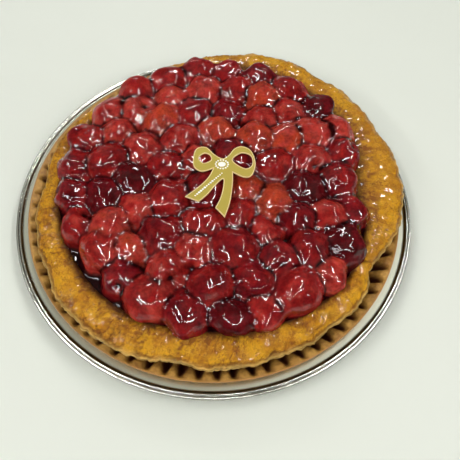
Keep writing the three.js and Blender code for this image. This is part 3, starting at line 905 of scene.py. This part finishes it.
def heapDraft(cherries):  # the jelly and every cherry in it, all too large by the glaze's reach
    bm = bmesh.new()
    rise = glaze["reach"]
    inner = [share * glaze["bedRadius"] for share in glaze["bedSteps"]]
    bed = glaze["bed"] + [(radius, heapHeight(radius) - heap["coreDrop"]) for radius in inner]
    turnSection(bm, [(radius, height + rise) for radius, height in bed], glaze["bedTurns"])
    for vert in bm.verts:
        radius, angle = aroundAxis(vert)
        radius -= rimOffsets(angle)[2] * min(radius / glaze["bedRadius"], 1)
        vert.co = polar(radius, angle, vert.co.z) + Vector((rim["offset"][0], rim["offset"][1], 0))
    for cherry in cherries:
        made = bmesh.ops.create_icosphere(bm, subdivisions=fruit["detail"], radius=1.0)
        for vert in made["verts"]:
            spot = shapeCherry(cherry, vert.co.normalized())
            vert.co = spot + (spot - cherry["centre"]).normalized() * rise
    return bm


def fuseDraft(bm):  # one even skin round everything, pulled back to the fruit's true size
    mesh = bpy.data.meshes.new("heapDraft")
    bm.to_mesh(mesh)
    bm.free()
    draft = addObject("heapDraft", mesh)
    remesh = draft.modifiers.new("remesh", "REMESH")
    remesh.mode = "VOXEL"
    remesh.voxel_size = glaze["voxel"]
    smoothing = draft.modifiers.new("smooth", "SMOOTH")
    smoothing.factor = 0.5
    smoothing.iterations = glaze["rounds"]
    bm = bmesh.new()
    addLayers(bm, *glaze["masks"])
    takeShape(bm, draft)
    bmesh.ops.bisect_plane(bm, geom=bm.verts[:] + bm.edges[:] + bm.faces[:], dist=0.0001,
                           plane_co=(0, 0, glaze["floor"]), plane_no=(0, 0, 1), clear_inner=True)
    bmesh.ops.holes_fill(bm, edges=[edge for edge in bm.edges if edge.is_boundary], sides=0)
    bm.normal_update()
    for vert, normal in [(vert, vert.normal.copy()) for vert in bm.verts]:
        vert.co -= normal * glaze["reach"]
    for turn in range(glaze["lastRounds"]):
        bmesh.ops.smooth_vert(bm, verts=bm.verts, factor=0.5, use_axis_x=True, use_axis_y=True, use_axis_z=True)
    return bm


def nearSkins(spot, cherries, centres):  # the nearest cherries, each with how far its skin lies from a point
    found = []
    for place, index, distance in centres.find_n(spot, 3):
        cherry = cherries[index]
        local = cherry["turn"].transposed() @ (spot - cherry["centre"])
        local = Vector(part / stretch for part, stretch in zip(local, cherry["stretch"]))
        length, away = cherryLength(cherry, local.normalized())
        gap = local.length - length * cherry["size"] * fruit["swell"]
        found.append((gap, index, away))
    return sorted(found)


def buildFruit(cherries, mottle):
    bm = fuseDraft(heapDraft(cherries))
    tintLayer, paintedShadeLayer, depthLayer, shineLayer = [bm.verts.layers.float[name] for name in glaze["masks"]]
    centres = kdtree.KDTree(len(cherries))
    for index, cherry in enumerate(cherries):
        centres.insert(cherry["centre"], index)
    centres.balance()
    bm.normal_update()
    for vert, normal in [(vert, vert.normal.copy()) for vert in bm.verts]:
        skins = nearSkins(vert.co, cherries, centres)
        weights = [math.exp(min(skins[0][0] - gap, 0.0) / 0.45) for gap, index, away in skins]
        tint = sum(weight * cherries[index]["tint"] for weight, (gap, index, away) in zip(weights, skins))
        gap, index, away = skins[0]
        cherry = cherries[index]
        vert[tintLayer] = tint / sum(weights) + 0.24 * noise.noise(vert.co / 6 + cherry["offset"])
        # painted shade: dark in the stone holes, in the creases between cherries and on their undersides
        hole = bell(away, cherry["holeWidth"] * 0.75) * cherry["holeDepth"] * 2.6
        crease = 1 - smoothStep(skins[1][0], 0.4, 4.2)
        crease *= min(max(0.72 + 1.5 * noise.noise(vert.co / 9 + Vector((3, 6, 1))), 0.3), 1.0)
        low = smoothStep(cherry["centre"].z - vert.co.z, -1.0, 10.0)
        vert[paintedShadeLayer] = max(hole, crease, low)
        vert[depthLayer] = smoothStep(gap, 0.25, 2.4)
        patch = smoothStep(noise.noise(vert.co / 6.5 + Vector((5, 2, 8))), -0.05, 0.09)
        least = 0.24 - 0.2 * smoothStep(crease, 0.3, 0.8)
        vert[shineLayer] = (least + (0.95 - least) * patch) * (1 - 0.75 * low)
        vert.co += normal * (0.34 * noise.noise(vert.co / 4.5) + 0.1 * noise.noise(vert.co / 2.7))
    finishPiece("glazedCherries", bm, cherryMaterial(mottle), "cherries")


def cherryMaterial(mottle):
    material, tree, shader = newMaterial("glazedCherry")
    tint = attributeOf(tree, "tint")
    stops = [(0.04, "dark"), (0.3, "crimson"), (0.56, "red"), (0.76, "rose"), (0.96, "amber")]
    skin = rampOf(tree, tint, [(place, paint(fruit[key])) for place, key in stops])
    flesh = mottleOf(tree, mottle, 95.0, 0.5)
    shade = levelsOf(tree, flesh, (0.34, 0.4), (0.5, 0.78), (0.66, 1.18))
    skin = mixColors(tree, 1.0, skin, shade, "MULTIPLY")
    paintedShade = attributeOf(tree, "paintedShade")
    # painted shade, near black, from the mask above
    skin = mixColors(tree, levelsOf(tree, paintedShade, (0.1, 0), (0.85, 0.95)), skin, paint(fruit["stone"]))
    # darker where the jelly lies thick: its own colour, partly painted shade in the gaps
    skin = mixColors(tree, levelsOf(tree, attributeOf(tree, "depth"), (0.0, 0), (1.0, 0.95)), skin,
                     paint(glaze["deep"]))
    tree.links.new(skin, shader.inputs["Base Color"])
    tree.links.new(attributeOf(tree, "shine"), shader.inputs["Coat Weight"])
    setSockets(shader, {"Roughness": 0.6, "Specular IOR Level": 0.0, "Coat Roughness": 0.015, "Coat IOR": 1.5,
                        "Subsurface Weight": 0.4, "Subsurface Scale": 0.004,
                        "Subsurface Radius": (1.0, 0.14, 0.12)})
    return material


bow = {
    "thickness": 0.8,
    "border": 0.6,
    "tilt": 2.5,
    "gap": 0.8,  # kept between the tag and the fruit
    "knot": (5.2, 2.8),
    "reach": 62.0,  # no cherry further from the knot lies below the tag
    "perSpan": 6,
    "gold": "ab9630",
    "edge": "dcbe80",
    "print": "f2efe4",
    # smooth stretches of the outline round the knot, from corner to corner
    "outline": [
        [(-5.6, -2.9), (-12.7, -5.6), (-18.1, -2.4), (-19.2, 4.5), (-17.3, 12.3), (-11, 13.7), (-5.4, 8.2),
         (0.3, 4.9), (4.3, 7.6), (8.1, 13.1), (13.4, 15), (19.3, 11.5), (22.2, 1.5), (19.8, -7.5), (14.8, -9.2),
         (7.4, -5.7)],
        [(7.4, -5.7), (7.4, -15.5), (5.9, -28.7), (2.9, -39.2)],
        [(2.9, -39.2), (-3.3, -32.4)],
        [(-3.3, -32.4), (-0.7, -26.4), (1.1, -18.6), (1.2, -10.9), (-3.3, -15.2), (-8.2, -22.3), (-13.9, -28.4)],
        [(-13.9, -28.4), (-22.9, -24.9)],
        [(-22.9, -24.9), (-13.7, -16.4), (-8.4, -9.6), (-5.6, -2.9)],
    ],
    "eyes": [
        [(-15.4, 4.8), (-12.1, 8.6), (-8.2, 7.4), (-7.4, 3.4), (-12.2, 1.1)],
        [(7.1, 4.9), (12.8, 9.7), (19.0, 7.6), (19.9, 0.6), (15.8, -2.5), (9.3, 1)],
    ],
    "jewel": (0.0, 0.4),
    "jewelSize": (2.6, 2.0),
    "beadRing": (4.1, 3.4),
    "beads": 14,
    "beadSize": 0.62,
    # a row of plain dots along the left tail
    "dotsFrom": (0.2, -6.6),
    "dotsTo": (-16.4, -24.0),
    "dots": 15,
    "dotSize": 0.7,
    "seed": 77,
}


def bowLoops():
    outer = [point for part in bow["outline"] for point in curveThrough(part, bow["perSpan"])[:-1]]
    eyes = []
    for eye in bow["eyes"]:
        wound = eye[-1:] + eye + eye[:2]
        eyes.append(curveThrough(wound, bow["perSpan"])[bow["perSpan"]:-bow["perSpan"] - 1])
    return [outer] + eyes


def buildBow(loops):
    data = bpy.data.curves.new("bowDraft", "CURVE")
    data.dimensions = "2D"
    data.fill_mode = "BOTH"
    for loop in loops:
        run = data.splines.new("POLY")
        run.points.add(len(loop) - 1)
        run.use_cyclic_u = True
        for point, place in zip(run.points, loop):
            point.co = (place[0], place[1], 0.0, 1.0)
    bm = bmesh.new()
    takeShape(bm, addObject("bowDraft", data))
    bmesh.ops.remove_doubles(bm, verts=bm.verts, dist=0.001)
    for face in bm.faces:
        if face.normal.z < 0:
            face.normal_flip()
    bmesh.ops.solidify(bm, geom=bm.faces, thickness=bow["thickness"])
    low = min(vert.co.z for vert in bm.verts)
    bmesh.ops.translate(bm, verts=bm.verts, vec=(0, 0, -low))
    for face in bm.faces:
        face.material_index = 1 if abs(face.normal.z) < 0.5 else 0
    for index, loop in enumerate(loops):
        addBorder(bm, loop, -bow["border"] if index else bow["border"])
    placeOnHeap(bm)
    gold, tree, shader = newMaterial("goldCard")
    spot = addNode(tree, "ShaderNodeTexCoord").outputs["Object"]
    brush = addNode(tree, "ShaderNodeTexNoise", {"Vector": spot, "Scale": 900.0, "Detail": 2.0}).outputs["Fac"]
    shine = levelsOf(tree, brush, (0.35, 0.45), (0.65, 0.55))
    tree.links.new(shine, shader.inputs["Roughness"])
    setSockets(shader, {"Base Color": paint(bow["gold"]), "Specular IOR Level": 0.35})
    edge, tree, shader = newMaterial("cardEdge")
    setSockets(shader, {"Base Color": paint(bow["edge"]), "Roughness": 0.6})
    piece = finishPiece("bowTag", bm, gold, "bow_tag", smooth=False)
    piece.data.materials.append(edge)


def addBorder(bm, loop, width):  # a thin band along a closed outline, outside it when its width is below 0
    count = len(loop)
    turning = sum(loop[at - 1].x * loop[at].y - loop[at].x * loop[at - 1].y for at in range(count))
    offset = width if turning > 0 else -width
    levels = (bow["thickness"] - 0.1, bow["thickness"] + 0.05)
    rows = []
    for at in range(count):
        before = (loop[at] - loop[at - 1]).normalized()
        after = (loop[(at + 1) % count] - loop[at]).normalized()
        inwards = Vector((-before.y - after.y, before.x + after.x)).normalized()
        miter = 1 / max(inwards.dot(Vector((-after.y, after.x))), 0.6)
        inner = loop[at] + inwards * offset * miter
        corners = [(loop[at], levels[0]), (loop[at], levels[1]), (inner, levels[1]), (inner, levels[0])]
        rows.append([bm.verts.new((spot.x, spot.y, level)) for spot, level in corners])
    band = []
    for at in range(count):
        for corner in range(4):
            following = (corner + 1) % 4
            quad = (rows[at - 1][corner], rows[at][corner], rows[at][following], rows[at - 1][following])
            band.append(bm.faces.new(quad))
    for face in band:
        face.material_index = 1
    bmesh.ops.recalc_face_normals(bm, faces=band)


def placeOnHeap(bm):  # tilt a piece made flat round the knot, and lay it where the tag lies
    bmesh.ops.rotate(bm, verts=bm.verts, matrix=Matrix.Rotation(math.radians(bow["tilt"]), 3, "X"))
    low = Vector(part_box("bow_tag")[0]) / mm
    knotX, knotY = bow["knot"]
    tail = min(point[1] for part in bow["outline"] for point in part)
    level = low.z - tail * math.sin(math.radians(bow["tilt"]))
    bmesh.ops.translate(bm, verts=bm.verts, vec=(knotX, knotY, level))


def addSpot(bm, place, size, height=0.25):  # a low oval dome on the tag
    made = bmesh.ops.create_uvsphere(bm, u_segments=14, v_segments=8, radius=1.0)
    spread = Matrix.Diagonal((size[0], size[1], height, 1.0))
    shift = Matrix.Translation((place[0], place[1], bow["thickness"]))
    bmesh.ops.transform(bm, matrix=shift @ spread, verts=made["verts"])


def buildPrint():  # the oval in its ring of beads, and the row of dots
    bm = bmesh.new()
    x, y = bow["jewel"]
    addSpot(bm, (x, y), bow["jewelSize"], 0.35)
    for bead in range(bow["beads"]):
        angle = bead / bow["beads"] * fullTurn
        spot = (x + bow["beadRing"][0] * math.cos(angle), y + bow["beadRing"][1] * math.sin(angle))
        addSpot(bm, spot, (bow["beadSize"], bow["beadSize"]))
    start, end = Vector(bow["dotsFrom"]), Vector(bow["dotsTo"])
    draw = makeDraws(bow["seed"])
    for dot in range(bow["dots"]):
        size = bow["dotSize"] * (0.75 + 0.5 * draw())
        addSpot(bm, start.lerp(end, dot / (bow["dots"] - 1)), (size, size * 0.8), 0.2)
    placeOnHeap(bm)
    material, tree, shader = newMaterial("whitePrint")
    setSockets(shader, {"Base Color": paint(bow["print"]), "Roughness": 0.4})
    finishPiece("tagPrint", bm, material, "bow_tag")


def addTable():
    bm = bmesh.new()
    bmesh.ops.create_grid(bm, x_segments=1, y_segments=1, size=studio["tableSize"] * mm)
    mesh = bpy.data.meshes.new("tableTop")
    bm.to_mesh(mesh)
    bm.free()
    material, tree, shader = newMaterial("tableTop")
    setSockets(shader, {"Base Color": paint(studio["tableColor"]), "Roughness": 0.5, "Specular IOR Level": 0.15})
    mesh.materials.append(material)
    table = addObject("tableTop", mesh)


bpy.context.scene.view_settings.view_transform = "Standard"
addCamera()
addStudio()
addTable()
print("camera, light and table are ready")
mottleGroup = buildMottle()
buildDish()
buildPaper(mottleGroup)
buildCrust(mottleGroup)
tagLoops = bowLoops()
cherryList = placeCherries()
fillGaps(cherryList)
dressCherries(cherryList)
settleUnderTag(cherryList, tagLoops)
buildFruit(cherryList, mottleGroup)
buildBow(tagLoops)
buildPrint()
